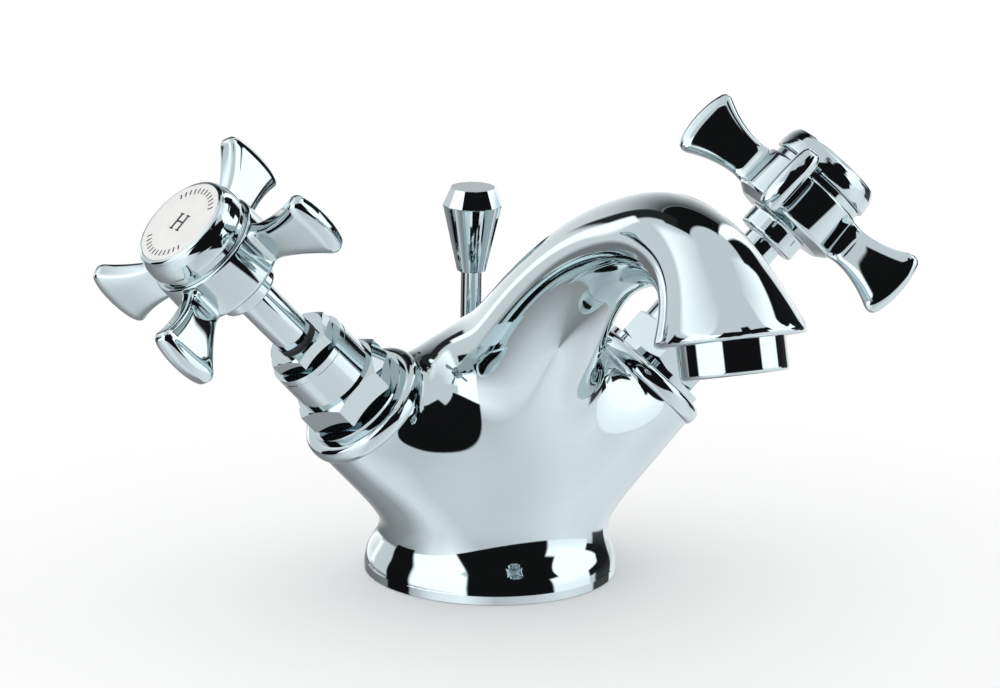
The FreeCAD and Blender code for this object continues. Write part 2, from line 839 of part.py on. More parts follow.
def handle_pieces():
    """Pieces of one handle, modelled about Z, by the end of their node's name."""
    return {
        "crosshead": crosshead(),
        "handle_screw": handle_screw(),
        "handle_cap": handle_cap(),
        "index_disc": index_disc(),
    }


nodes = {
    "body_casting": body_casting(),
    "base_seal": base_seal(),
    "rod_bush": rod_bush(),
    "lift_rod": lift_rod(),
    "lift_knob": lift_knob(),
    "aerator_housing": aerator_housing(),
    "aerator_insert": aerator_insert(),
    "aerator_washer": aerator_washer(),
}
valve = valve_pieces()
handle = handle_pieces()
for side, name in ((HOT, "hot"), (COLD, "cold")):
    for part, shape in valve.items():
        nodes[name + "_" + part] = on_valve(shape, side)
    for part, shape in handle.items():
        nodes[name + "_" + part] = on_valve(turned(shape, -side * handle_turn_angle), side)

for name, shape in nodes.items():
    shape.exportStep("parts/" + name + ".step")
    print(name, len(shape.Solids), shape.isValid(), round(shape.Volume), len(shape.Faces))
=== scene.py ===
import math

import bpy
import numpy as np
from mathutils import Matrix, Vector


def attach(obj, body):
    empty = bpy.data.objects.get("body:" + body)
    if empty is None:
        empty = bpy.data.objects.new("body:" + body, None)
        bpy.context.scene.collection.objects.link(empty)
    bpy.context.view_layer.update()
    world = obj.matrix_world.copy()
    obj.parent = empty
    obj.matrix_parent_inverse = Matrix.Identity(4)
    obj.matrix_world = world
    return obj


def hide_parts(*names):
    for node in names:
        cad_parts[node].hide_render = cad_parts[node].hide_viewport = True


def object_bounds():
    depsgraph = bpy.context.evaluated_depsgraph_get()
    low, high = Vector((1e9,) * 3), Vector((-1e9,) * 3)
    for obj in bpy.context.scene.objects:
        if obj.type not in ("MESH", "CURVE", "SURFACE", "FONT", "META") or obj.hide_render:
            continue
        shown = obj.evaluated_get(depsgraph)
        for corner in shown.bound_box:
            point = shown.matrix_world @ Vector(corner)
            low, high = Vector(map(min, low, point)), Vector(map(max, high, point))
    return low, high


bl_info = {
    "name": "Basin mixer looks",
    "version": (1, 0, 0),
    "blender": (4, 5, 0),
    "location": "View3D > Sidebar > Mixer",
    "description": "Dresses the packed basin mixer: smooth casting, plated finishes, marks and stage",
    "category": "Object",
}

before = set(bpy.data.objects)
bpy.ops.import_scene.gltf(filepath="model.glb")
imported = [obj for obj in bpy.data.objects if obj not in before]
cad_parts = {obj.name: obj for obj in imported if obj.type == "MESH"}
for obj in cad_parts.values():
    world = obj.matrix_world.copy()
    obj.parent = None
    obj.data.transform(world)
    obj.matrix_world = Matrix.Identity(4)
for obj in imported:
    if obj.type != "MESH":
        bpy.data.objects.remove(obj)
CAD_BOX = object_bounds()
MM = 0.001
SIDES = {"hot": -1, "cold": 1}

# Sizes of the casting in millimetres, as the solids have them or worked out from theirs
VALVE_MEETING = (0.0, -3.7, 8.1)
ARM = 50.3
ARM_RADIUS = 15.0
YOKE_SWELL = 4.68
SHOULDER = 54.618
SPOUT_REACH = 120.4
SPOUT_CREST = 101.8
THROAT_RADIUS = 10.3
STEM_SWELL = 14.3
BELL_SWELL = 6.6
OUTLET_TILT = math.radians(18)
ROD_OFFSET = 13.2

# Sizes that only the casting's skin has: how far it runs past the mouths, its rounds, and its openings
MOUTH_PAST = 2.2
MOUTH_ROUND = 0.8
RIM_ROUND = 3.2
RIM_RANGE = 30.0
OUTLET_OPENING = 11.5
FOOT_OPENING = 1.4

# Outlines of turned pieces as (radius, station on the valve axis), with the rounds of their corners
COLLAR_OUTLINE = [(12.6, 50.0), (16.08, 50.0), (16.08, 54.78), (12.6, 54.78)]
COLLAR_ROUNDS = [0.3, 2.2, 2.2, 0.3]
HUB_OUTLINE = [
    (5.65, 95.6), (7.6, 95.6), (7.6, 100.6), (11.4, 100.6), (14.1, 102.4), (13.7, 113.1), (12.4, 113.1),
    (12.4, 115.1), (5.65, 115.1)]
HUB_ROUNDS = [0.2, 0.9, 0.8, 0.5, 0.9, 0.8, 0.2, 0.5, 0.2]
SLEEVE_OUTLINE = [(4.2, 79.0), (4.7, 79.0), (4.7, 96.5), (4.2, 96.5)]
SLEEVE_ROUNDS = [0.1, 0.2, 0.2, 0.1]

# Turn of the first paddle of each handle at rest
FIRST_PADDLE = {"hot": math.radians(40), "cold": math.radians(50)}

# Heights of the lift rod's knob: foot, widest place and top
KNOB_HEIGHTS = (69.9, 86.1, 90.2)

# Height of the printed marks over their discs
INK_LIFT = 0.02

# Stage, in metres
CAMERA_PLACE = (-0.50272, -1.07866, 0.38262)
FLOOR_HALF = 8.0
FLOOR_DROP = 0.0002
DOME_RADIUS = 2.5
DOME_MIDDLE = (0.0, -0.04, 0.06)
MOST_TRIANGLES = 199000


# Frames of the valves


def valve_frame(side):
    """Origin and rows (inward-up, across, along) of one valve's own frame, in millimetres."""
    size = bpy.context.scene.mixer_casting
    tilt, sweep = size.valve_tilt, size.valve_sweep
    along = np.array([
        side * math.cos(tilt) * math.cos(sweep), -math.cos(tilt) * math.sin(sweep), math.sin(tilt)])
    up = np.cross(along, [0.0, side, 0.0])
    up /= np.linalg.norm(up)
    return np.array(VALVE_MEETING), np.array([up, np.cross(along, up), along])


# Meshes from arrays


def make_piece(name, points, faces, body, normals=None, smooth=True):
    """Mesh object at the origin from points in millimetres and an array of quads, riding on a body."""
    mesh = bpy.data.meshes.new(name)
    corners = faces.shape[1]
    mesh.vertices.add(len(points))
    mesh.vertices.foreach_set("co", (points * MM).astype(np.float32).ravel())
    mesh.loops.add(faces.size)
    mesh.loops.foreach_set("vertex_index", faces.astype(np.int32).ravel())
    mesh.polygons.add(len(faces))
    mesh.polygons.foreach_set("loop_start", np.arange(0, faces.size, corners, dtype=np.int32))
    mesh.update(calc_edges=True)
    mesh.validate()
    mesh.polygons.foreach_set("use_smooth", np.full(len(mesh.polygons), smooth))
    if normals is not None:
        mesh.normals_split_custom_set_from_vertices(normals.astype(np.float32))
    piece = bpy.data.objects.new(name, mesh)
    bpy.context.scene.collection.objects.link(piece)
    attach(piece, body)
    return piece


def grid_faces(rows, columns, closed):
    """Quads of a grid of points, closed along its columns where asked."""
    row = np.arange(rows - 1)[:, None]
    column = np.arange(columns if closed else columns - 1)[None, :]
    after = (column + 1) % columns
    quads = np.stack([
        row * columns + column, row * columns + after,
        (row + 1) * columns + after, (row + 1) * columns + column], axis=-1)
    return quads.reshape(-1, 4)


def rounded_profile(corners, rounds, steps):
    """Closed (radius, height) outline with soft corners: each corner is cut back by its round on both sides
    and bridged by a quadratic curve that the corner pulls on."""
    corners = np.asarray(corners, float)
    before = np.roll(corners, 1, axis=0) - corners
    after = np.roll(corners, -1, axis=0) - corners
    before /= np.linalg.norm(before, axis=1, keepdims=True)
    after /= np.linalg.norm(after, axis=1, keepdims=True)
    cut = np.asarray(rounds, float)[:, None]
    start, end = corners + before * cut, corners + after * cut
    late = np.linspace(0, 1, steps)[None, :, None]
    early = 1 - late
    arcs = early ** 2 * start[:, None] + 2 * late * early * corners[:, None] + late ** 2 * end[:, None]
    return arcs.reshape(-1, 2)


def turned_ring(profile, origin, rows, count):
    """Points of a closed outline turned about an axis: radius times the cosine and sine of the angle along
    the frame's first two rows, height along the third."""
    angle = np.linspace(0, 2 * np.pi, count, endpoint=False)
    circle = np.cos(angle)[:, None] * rows[0] + np.sin(angle)[:, None] * rows[1]
    points = profile[:, None, :1] * circle[None] + profile[:, None, 1:] * rows[2] + origin
    faces = grid_faces(len(profile) + 1, count, True) % (len(profile) * count)
    return points.reshape(-1, 3), faces


# The casting as one smooth surface


def spine():
    """Middle line, section direction and radius of foot, stem and spout at their knots, in millimetres."""
    reach = SPOUT_REACH * np.array(
        [0.0, 0.0022, 0.019, 0.062, 0.135, 0.233, 0.345, 0.470, 0.621, 0.772, 0.874, 0.937, 0.978, 1.0])
    stem = SHOULDER * np.array([0.346, 0.458, 0.605, 0.803, 1.0])
    arch = SHOULDER + (SPOUT_CREST - SHOULDER) * np.array(
        [0.262, 0.527, 0.746, 0.918, 1.0, 0.963, 0.879, 0.767, 0.681])
    height = np.concatenate([stem, arch])
    radius = np.concatenate([
        THROAT_RADIUS + STEM_SWELL * np.array([0.986, 0.990, 0.940, 0.735, 0.460, 0.285, 0.140, 0.040, 0.0]),
        THROAT_RADIUS + BELL_SWELL * np.array([0.03, 0.12, 0.36, 0.72, 1.0])])
    points = np.stack([0 * reach, -reach, height], axis=1)
    way = np.gradient(points, axis=0)
    way[0] = [0, 0, 1]
    way /= np.linalg.norm(way, axis=1, keepdims=True)
    outlet = np.array([0, -math.sin(OUTLET_TILT), -math.cos(OUTLET_TILT)])
    turn = np.array([0.0, 0.0, 0.32, 0.60, 1.0])[:, None]
    way[-5:] = way[-5:] * (1 - turn) + outlet * turn
    foot_height = np.array([-2.0, 0.0, 2.0, 4.875, 7.75, 10.625, 13.5])
    foot_radius = np.array([30.0, 30.0, 30.0, 29.19, 27.41, 25.70, 24.72])
    foot = np.stack([0 * foot_height, 0 * foot_height, foot_height], axis=1)
    points = np.concatenate([foot, points])
    way = np.concatenate([np.tile([0.0, 0.0, 1.0], (len(foot), 1)), way])
    return points, way, np.concatenate([foot_radius, radius])


def yoke():
    """Lowest and highest point, half width and cross direction of the yoke's ovals, from the hot mouth
    through the stem to the cold mouth, in millimetres."""
    origin, (up, across, along) = valve_frame(1)
    mouth_top = origin + ARM_RADIUS * up + ARM * along
    ridge = np.array([0.0, origin[1], 1.07 * SHOULDER])
    keel = np.array([0.0, origin[1], 4.0])
    under = origin - ARM_RADIUS * up + ARM * np.array([0.24, 0.43, 0.66, 0.87, 1.0])[:, None] * along
    top = ridge + (mouth_top - ridge) * np.array([0.34, 0.62, 0.84, 0.95, 1.0])[:, None]
    top[:, 2] = mouth_top[2] + (ridge[2] - mouth_top[2]) * np.array([0.90, 0.62, 0.28, 0.08, 0.0])
    width = ARM_RADIUS + YOKE_SWELL * np.array([1.0, 0.95, 0.66, 0.22, 0.0])
    beyond = 4.0 * along
    under = np.concatenate([under, under[-1:] + beyond])
    top = np.concatenate([top, top[-1:] + beyond])
    width = np.concatenate([width, width[-1:]])
    across = np.tile(across, (len(under), 1))
    flip = np.array([-1.0, 1.0, 1.0])
    return (
        np.concatenate([(under * flip)[::-1], [keel], under]),
        np.concatenate([(top * flip)[::-1], [ridge], top]),
        np.concatenate([width[::-1], [ARM_RADIUS + YOKE_SWELL], width]),
        np.concatenate([(across * flip)[::-1], [[0.0, -1.0, 0.0]], across]))


def smooth_through(knots, values, at):
    """Values on a natural cubic spline through knots: the second derivatives solve the usual tridiagonal
    system, and each span is the cubic that they give."""
    count = len(knots)
    step = np.diff(knots)
    system = np.eye(count)
    inner = np.arange(1, count - 1)
    system[inner, inner - 1] = step[:-1]
    system[inner, inner] = 2 * (step[:-1] + step[1:])
    system[inner, inner + 1] = step[1:]
    slope = np.diff(values, axis=0) / step[:, None]
    right = np.zeros_like(values)
    right[1:-1] = 6 * np.diff(slope, axis=0)
    second = np.linalg.solve(system, right)
    span = np.clip(np.searchsorted(knots, at, side="right") - 1, 0, count - 2)
    width = step[span][:, None]
    before = ((knots[span + 1] - at)[:, None]) / width
    after = 1 - before
    bend = (before ** 3 - before) * second[span] + (after ** 3 - after) * second[span + 1]
    return before * values[span] + after * values[span + 1] + bend * width ** 2 / 6


def smooth_less(first, second, width):
    """Smaller of two fields with the seam rounded over a width by a cubic."""
    near = np.maximum(width - np.abs(first - second), 0) / width
    return np.minimum(first, second) - near ** 3 * width / 6


def smooth_more(first, second, width):
    """Larger of two fields with the edge rounded over a width by a cubic."""
    return -smooth_less(-first, -second, width)


def eased(rows, share):
    """Rows averaged with their neighbours by a bell of weights, as far as each row's share asks for it."""
    side, spread = 12, 5.0
    near = np.arange(-side, side + 1)
    bell = np.exp(-0.5 * (near / spread) ** 2)
    padded = np.pad(rows, ((side, side), (0, 0)), mode="edge")
    beside = np.lib.stride_tricks.sliding_window_view(padded, len(near), axis=0)
    return rows + (beside @ (bell / bell.sum()) - rows) * share[:, None]


def unit(rows):
    """Rows scaled to length 1."""
    return rows / np.linalg.norm(rows, axis=1, keepdims=True)


class Tube:
    """Signed distance, about, to a tube of oval sections: on the section that passes through a point, the
    point's distance from the middle less the oval's radius in that direction."""

    def __init__(self, middle, high, wide, height, width):
        self.middle, self.high, self.wide = middle, high, wide
        self.size = np.stack([height, width], axis=1)
        self.way = np.cross(high, wide)
        self.offset = np.sum(middle * self.way, axis=1)

    def __call__(self, points):
        ahead = points @ self.way.T - self.offset
        square = np.sum(points ** 2, axis=1)[:, None] - 2 * points @ self.middle.T
        square += np.sum(self.middle ** 2, axis=1)
        rough = np.sqrt(np.maximum(square, 0)) - self.size.max(axis=1)
        crossing = (ahead[:, :-1] >= 0) & (ahead[:, 1:] < 0)
        pick = np.argmin(np.where(crossing, rough[:, :-1], 1e3), axis=1)
        row = np.arange(len(points))
        found = crossing[row, pick]
        first, second = ahead[row, pick], ahead[row, pick + 1]
        share = (first / np.where(found, first - second, 1.0))[:, None]
        middle, high, wide, size = (
            item[pick] * (1 - share) + item[pick + 1] * share
            for item in (self.middle, self.high, self.wide, self.size))
        away = points - middle
        one, two = np.sum(away * high, axis=1), np.sum(away * wide, axis=1)
        reach = np.hypot(one, two)
        level = np.hypot(one / size[:, 0], two / size[:, 1])
        oval = reach - reach / np.maximum(level, 1e-6)
        return np.where(found, oval, rough.min(axis=1))


class CastingField:
    """Signed distance, about, to the outside of the casting: stem and spout joined to the yoke by a smooth
    union, ended at the valve mouths and at the outlet's rim."""

    STEM_SECTIONS = 220
    YOKE_SECTIONS = 150

    def __init__(self, blend, proud):
        points, way, radius = spine()
        station = np.concatenate([[0], np.cumsum(np.linalg.norm(np.diff(points, axis=0), axis=1))])
        dense = np.linspace(0, station[-1], self.STEM_SECTIONS)
        rows = smooth_through(station, np.concatenate([points, way, radius[:, None]], axis=1), dense)
        # Only the stem is eased, with soft ends over the foot and under the spout
        height = rows[:, 2]
        rows = eased(rows, np.clip((height - 15) / 6, 0, 1) * np.clip((70 - height) / 10, 0, 1))
        way, radius = unit(rows[:, 3:6]), rows[:, 6]
        wide = np.tile([1.0, 0.0, 0.0], (self.STEM_SECTIONS, 1))
        self.stem = Tube(rows[:, :3], np.cross(wide, way), wide, radius, radius)
        under, top, width, across = yoke()
        middle = (under + top) / 2
        station = np.concatenate([[0], np.cumsum(np.linalg.norm(np.diff(middle, axis=0), axis=1))])
        dense = np.linspace(0, station[-1], self.YOKE_SECTIONS)
        under, top = smooth_through(station, under, dense), smooth_through(station, top, dense)
        width = smooth_through(station, width[:, None], dense)[:, 0]
        across = unit(smooth_through(station, across, dense))
        height = np.linalg.norm(top - under, axis=1) / 2
        self.yoke = Tube((under + top) / 2, unit(top - under), across, height, width)
        self.mouths = [valve_frame(side) for side in SIDES.values()]
        self.blend, self.proud = blend, proud
        self.outlet, self.outward = points[-1], way[-1]

    def __call__(self, points):
        arms = self.yoke(points)
        for origin, rows in self.mouths:
            arms = smooth_more(arms, (points - origin) @ rows[2] - ARM - MOUTH_PAST, MOUTH_ROUND)
        field = smooth_less(self.stem(points), arms, self.blend)
        away = points - self.outlet
        rim = away @ self.outward
        near = np.linalg.norm(away, axis=1) < RIM_RANGE
        field = np.where(near, smooth_more(field, rim, RIM_ROUND), field)
        # At the foot the skin sinks just under the solid, which hides its open edge
        sunk = np.clip((6.0 - points[:, 2]) / 4.0, 0, 1)
        return field - self.proud * (1 - 1.3 * sunk)

    def slope(self, points):
        """Gradient by central differences, over a step that evens out the sections' spacing."""
        step = 0.6
        shifts = np.eye(3) * step
        change = [self(points + shift) - self(points - shift) for shift in shifts]
        return np.stack(change, axis=1) / (2 * step)


def in_chunks(field, points):
    """Field at many points, worked out in blocks that fit in memory."""
    blocks = np.array_split(points, max(1, len(points) // 40000))
    return np.concatenate([field(block) for block in blocks])


def sampled_field(field, low, high, pitch):
    """Field on a grid: a coarse grid everywhere, and the fine grid only where the coarse one is near zero."""
    coarse = 4
    shape = (np.ceil((high - low) / pitch / coarse).astype(int) + 1)
    axes = [low[i] + pitch * coarse * np.arange(shape[i]) for i in range(3)]
    mesh = np.stack(np.meshgrid(*axes, indexing="ij"), axis=-1)
    rough = in_chunks(field, mesh.reshape(-1, 3)).reshape(shape)
    fine_shape = (shape - 1) * coarse + 1
    index = [np.minimum(np.arange(n) // coarse, shape[i] - 2) for i, n in enumerate(fine_shape)]
    share = [np.arange(n) / coarse - index[i] for i, n in enumerate(fine_shape)]
    values = rough
    for axis in range(3):
        weight = share[axis].reshape([-1 if other == axis else 1 for other in range(3)])
        values = (
            np.take(values, index[axis], axis=axis) * (1 - weight)
            + np.take(values, index[axis] + 1, axis=axis) * weight)
    axes = [low[i] + pitch * np.arange(fine_shape[i]) for i in range(3)]
    close = np.abs(values) < pitch * coarse * 1.1
    where = np.argwhere(close)
    spots = np.stack([axes[i][where[:, i]] for i in range(3)], axis=1)
    values[close] = in_chunks(field, spots)
    return values, axes


def net_surface(values, axes):
    """Quads round the zero of a sampled field: one point in each cell that the zero crosses, at the mean of
    its edge crossings, and one quad for each grid edge that changes sign."""
    inside = values < 0
    cells = tuple(n - 1 for n in values.shape)
    total = np.zeros(cells + (3,))
    count = np.zeros(cells)
    for axis in range(3):
        others = [other for other in range(3) if other != axis]
        for first in (0, 1):
            for second in (0, 1):
                start = [slice(None)] * 3
                start[axis] = slice(0, cells[axis])
                start[others[0]] = slice(first, first + cells[others[0]])
                start[others[1]] = slice(second, second + cells[others[1]])
                end = list(start)
                end[axis] = slice(1, cells[axis] + 1)
                low, high = values[tuple(start)], values[tuple(end)]
                crossed = (low < 0) != (high < 0)
                share = np.where(crossed, low / np.where(crossed, low - high, 1), 0)
                total[..., axis] += share * crossed
                total[..., others[0]] += first * crossed
                total[..., others[1]] += second * crossed
                count += crossed
    used = count > 0
    number = np.full(cells, -1)
    number[used] = np.arange(used.sum())
    corner = np.argwhere(used)
    local = total[used] / count[used][:, None]
    step = np.array([axis[1] - axis[0] for axis in axes])
    points = np.array([axis[0] for axis in axes]) + (corner + local) * step
    quads = []
    for axis in range(3):
        one, two = [(1, 2), (2, 0), (0, 1)][axis]
        start = [slice(1, end) for end in cells]
        start[axis] = slice(0, cells[axis])
        end = list(start)
        end[axis] = slice(1, cells[axis] + 1)
        low, high = inside[tuple(start)], inside[tuple(end)]
        place = np.argwhere(low != high)
        outward = low[tuple(place.T)]
        place[:, [one, two]] += 1
        ring = []
        for shift in ((-1, -1), (0, -1), (0, 0), (-1, 0)):
            cell = place.copy()
            cell[:, [one, two]] += shift
            ring.append(number[tuple(cell.T)])
        ring = np.stack(ring, axis=1)
        quads.append(np.where(outward[:, None], ring, ring[:, ::-1]))
    return points, np.concatenate(quads)


def casting_surface(field, pitch):
    """Surface of the casting: a net round the zero of the field, drawn onto it by Newton steps along the
    slope and left open at the foot's edge and over the outlet's bore."""
    low = np.array([-48.0, -140.0, -1.5])
    high = np.array([48.0, 33.0, 115.0])
    points, faces = net_surface(*sampled_field(field, low, high, pitch))
    for _ in range(3):
        slope = np.concatenate([field.slope(block) for block in np.array_split(points, 8)])
        value = in_chunks(field, points)
        points = points - slope * np.clip(
            value / np.maximum(np.sum(slope ** 2, axis=1), 0.2), -pitch, pitch)[:, None]
    normals = unit(np.concatenate([field.slope(block) for block in np.array_split(points, 8)]))
    points = np.clip(points, *(np.asarray(CAD_BOX) / MM))
    rim = (points - field.outlet) @ field.outward
    bore = (rim > -1.0) & (np.linalg.norm(points - field.outlet, axis=1) < OUTLET_OPENING)
    keep = ((points[:, 2] > FOOT_OPENING) & ~bore)[faces].all(axis=1)
    faces = faces[keep]
    used = np.unique(faces)
    number = np.zeros(len(points), int)
    number[used] = np.arange(len(used))
    return points[used], number[faces], normals[used]


# Handles and knob


def joined(shells):
    """Points and faces of several shells as one mesh."""
    first = np.cumsum([0] + [len(points) for points, _ in shells[:-1]])
    return (
        np.concatenate([points for points, _ in shells]),
        np.concatenate([faces + start for (_, faces), start in zip(shells, first)]))


def paddle(origin, rows, turn):
    """Fishtail paddle of superellipse sections along its reach: their height grows with a power of the way
    past the waist, their thickness rises from the waist outwards and levels off, and both round off at the
    tip, whose edge bulges."""
    size = bpy.context.scene.mixer_handles
    start, corner_start, corner, straight_rows = 11.0, 27.8, 2.8, 43
    bend = np.linspace(0, np.pi / 2, 17)[1:]
    reach = np.concatenate([
        np.linspace(start, corner_start, straight_rows), corner_start + corner * np.sin(bend)])
    fade = np.concatenate([np.ones(straight_rows), np.cos(bend)])
    waist_reach, waist_half_height, flare_length, flare_gain = 16.5, 4.9, 14.1, 4.95
    flare = np.clip((reach - waist_reach) / flare_length, 0, None) ** 1.8
    root_reach, root_length, root_gain, root_swell = 17.0, 3.0, 0.3, 0.8
    root = np.clip((root_reach - reach) / root_length, 0, 1) ** 2
    high = waist_half_height + flare_gain * flare + root_gain * root - corner * (1 - fade)
    rise_start, rise_length = 15.0, 4.5
    rise = 1 - np.exp(-np.clip(reach - rise_start, 0, None) / rise_length)
    thick = size.paddle_waist + (size.paddle_half - size.paddle_waist) * rise
    thick = (thick + root_swell * root) * np.maximum(fade, 0.001) ** 0.65
    angle = np.linspace(0, 2 * np.pi, 112, endpoint=False)
    lobe = 2 / size.paddle_power
    along = high[:, None] * np.sign(np.cos(angle)) * np.abs(np.cos(angle)) ** lobe
    aside = thick[:, None] * np.sign(np.sin(angle)) * np.abs(np.sin(angle)) ** lobe
    tip_bulge, end_half_height = 2.1, 10.1
    out = reach[:, None] + tip_bulge * flare[:, None] * (1 - (along / end_half_height) ** 2)
    ray = math.cos(turn) * rows[0] + math.sin(turn) * rows[1]
    points = (
        origin + out[..., None] * ray + aside[..., None] * np.cross(rows[2], ray)
        + (size.paddle_plane + along)[..., None] * rows[2])
    return points.reshape(-1, 3), grid_faces(len(reach), len(angle), True)


def bezel_outline():
    """Closed (radius, station) outline of the convex bezel: a quarter of an ellipse over a short skirt."""
    angle = np.linspace(np.pi / 2, 0, 33)
    disc_radius, bulge, shoulder, rise = 11.0, 2.15, 116.0, 5.15
    dome = np.stack([disc_radius + bulge * np.sin(angle), shoulder + rise * np.cos(angle)], axis=1)
    skirt = [[11.6, 115.2], [13.0, 115.2], [13.15, 115.35]]
    inside = [[10.9, 121.0], [10.9, 118.0]]
    return np.concatenate([skirt, dome, inside])


def fluted_knob(foot, girth, top):
    """Knob of twelve sides: a polygon's radius at each angle, hollowed into flutes on the skirt and flat on
    the bevel. Its rows give corner radius, height and depth of the flutes."""
    angle = np.radians(np.arange(72) * 5.0)
    half_side = np.pi / 12
    away = (angle + half_side) % (2 * half_side) - half_side
    side = math.cos(half_side) / np.cos(away)
    flute = 1 - (away / half_side) ** 2
    rows = [
        (2.4, foot, 0.0), (3.5, foot, 0.05), (7.1, girth - 0.3, 0.055), (7.2, girth, 0.0),
        (5.35, top, 0.0), (0.01, top, 0.0)]
    radius = np.array([corner * (side - hollow * flute) for corner, _, hollow in rows])
    height = np.array([level for _, level, _ in rows])[:, None] + 0 * radius
    points = np.stack([radius * np.cos(angle), ROD_OFFSET + radius * np.sin(angle), height], axis=-1)
    return points.reshape(-1, 3), grid_faces(len(rows), len(angle), True)


# Marks of the index discs


def strip(radius, width, start, end, count):
    """Bent strip in a plane: radius and angle of a ring's part, as a grid of two rows."""
    angle = np.linspace(start, end, count)
    rim = np.array([radius - width / 2, radius + width / 2])[:, None]
    return np.stack([rim * np.cos(angle), rim * np.sin(angle)], axis=-1)


def bar(x, y, width, height):
    """Straight strip in a plane, as a grid of two rows."""
    side = np.array([-0.5, 0.5])
    return np.stack(np.broadcast_arrays(x + width * side[None, :], y + height * side[:, None]), axis=-1)


def index_mark(side):
    """Strips of one printed mark in its disc's plane, in millimetres: a letter and two rows of ticks."""
    if side == "hot":
        letter = [bar(-1.35, 0, 0.75, 4.4), bar(1.35, 0, 0.75, 4.4), bar(0, 0.1, 2.2, 0.42)]
        letter += [bar(x, y, 1.55, 0.34) for x in (-1.35, 1.35) for y in (-2.1, 2.1)]
    else:
        letter = [strip(1.95, 0.72, 0.85, 2 * math.pi - 0.85, 49), bar(1.45, 1.45, 0.34, 1.1)]
    turns = np.radians(np.concatenate([np.linspace(40, 140, 12), np.linspace(220, 320, 12)]))
    radius, length, half = 8.9, 1.5, 0.022
    return letter + [strip(radius, length, turn - half, turn + half, 4) for turn in turns]


def print_on(name, strips, origin, rows, turn, height):
    """One mesh from flat strips laid on a plane across an axis, turned about it."""
    shells = [(grid.reshape(-1, 2), grid_faces(*grid.shape[:2], False)) for grid in strips]
    flat, faces = joined(shells)
    right = math.cos(turn) * rows[0] + math.sin(turn) * rows[1]
    points = origin + flat[:, :1] * right + flat[:, 1:] * np.cross(rows[2], right) + height * rows[2]
    return make_piece(name, points, faces, name.split("_")[0] + "_handle")


# Materials


class Wire:
    """Socket of a material that adds Math nodes when it is used in an expression."""

    def __init__(self, tree, socket):
        self.tree, self.socket = tree, socket

    def add(self, kind, settings=None, inputs=None, output=0):
        """Any node: its type, its settings, then the values or links of its sockets."""
        node = self.tree.nodes.new(kind)
        for key, value in (settings or {}).items():
            setattr(node, key, value)
        for key, value in (inputs or {}).items():
            if isinstance(value, Wire):
                self.tree.links.new(value.socket, node.inputs[key])
            else:
                node.inputs[key].default_value = value
        return Wire(self.tree, node.outputs[output])

    def maths(self, operation, other):
        """Math node on this value and another."""
        return self.add("ShaderNodeMath", {"operation": operation}, {0: self, 1: other})

    def __add__(self, other):
        return self.maths("ADD", other)

    def __mul__(self, other):
        return self.maths("MULTIPLY", other)

    __radd__ = __add__
    __rmul__ = __mul__

    def between(self, low, high):
        """Smooth step from 0 at low to 1 at high."""
        return self.add(
            "ShaderNodeMapRange", {"interpolation_type": "SMOOTHSTEP"},
            {"Value": self, "From Min": low, "From Max": high, "To Min": 0.0, "To Max": 1.0})

    def mix(self, first, second):
        """Colour between two colours, with this value as the share of the second."""
        return self.add(
            "ShaderNodeMix", {"data_type": "RGBA", "clamp_factor": True}, {0: self, 6: first, 7: second}, 2)


def new_material(name, **constants):
    """Material with a Principled shader; constants are set on its own sockets."""
    material = bpy.data.materials.new(name)
    material.use_nodes = True
    shader = material.node_tree.nodes["Principled BSDF"]
    for key, value in constants.items():
        shader.inputs[key].default_value = value
    start = Wire(material.node_tree, None)
    place = start.add("ShaderNodeTexCoord", output="Object")
    return material, shader, place


def feed(shader, wire, socket):
    """Links a worked-out value to a socket of the shader."""
    wire.tree.links.new(wire.socket, shader.inputs[socket])


def noise(place, scale, detail=3.0):
    """Noise over the surface, with its grain per metre."""
    return place.add(
        "ShaderNodeTexNoise", None, {"Vector": place, "Scale": scale, "Detail": detail, "Roughness": 0.55})


def shaded(colour, share):
    """Colour times a share, opaque."""
    return tuple(share * channel for channel in colour[:3]) + (1.0,)


def plated(name, tint):
    """Polished plating: cool bright metal with faint clouds of haze and a trace of wiping marks."""
    finish = bpy.context.scene.mixer_finish
    material, shader, place = new_material(name, Metallic=1.0)
    cloud = noise(place, 38.0, 4.0)
    streak = place.add("ShaderNodeMapping", None, {"Vector": place, "Scale": (1.0, 1.0, 0.12)})
    wipe = noise(streak, 420.0, 2.0)
    feed(shader, cloud.between(0.35, 0.70).mix(shaded(tint, 0.97), shaded(tint, 1.0)), "Base Color")
    feed(shader, finish.plating_haze * (0.7 + 0.5 * cloud + 0.2 * wipe), "Roughness")
    return material


def soft_black(name, colour):
    """Moulded rubber: near black with a dusty bloom and a fine grain."""
    material, shader, place = new_material(name)
    bloom = noise(place, 260.0, 4.0)
    feed(shader, bloom.between(0.3, 0.8).mix(colour, shaded(colour, 2.2)), "Base Color")
    feed(shader, 0.55 + 0.25 * bloom, "Roughness")
    grain = place.add(
        "ShaderNodeBump", None, {"Strength": 0.15, "Distance": 0.0001, "Height": noise(place, 2400.0)})
    feed(shader, grain, "Normal")
    return material


def moulded(name, colour, gloss):
    """Moulded plastic or lapped ceramic: pale, with slight clouding and a fine skin."""
    material, shader, place = new_material(name)
    cloud = noise(place, 180.0, 4.0)
    feed(shader, cloud.between(0.3, 0.75).mix(shaded(colour, 0.93), colour), "Base Color")
    feed(shader, gloss + 0.12 * cloud, "Roughness")
    skin = place.add(
        "ShaderNodeBump", None, {"Strength": 0.08, "Distance": 0.0001, "Height": noise(place, 1800.0)})
    feed(shader, skin, "Normal")
    return material


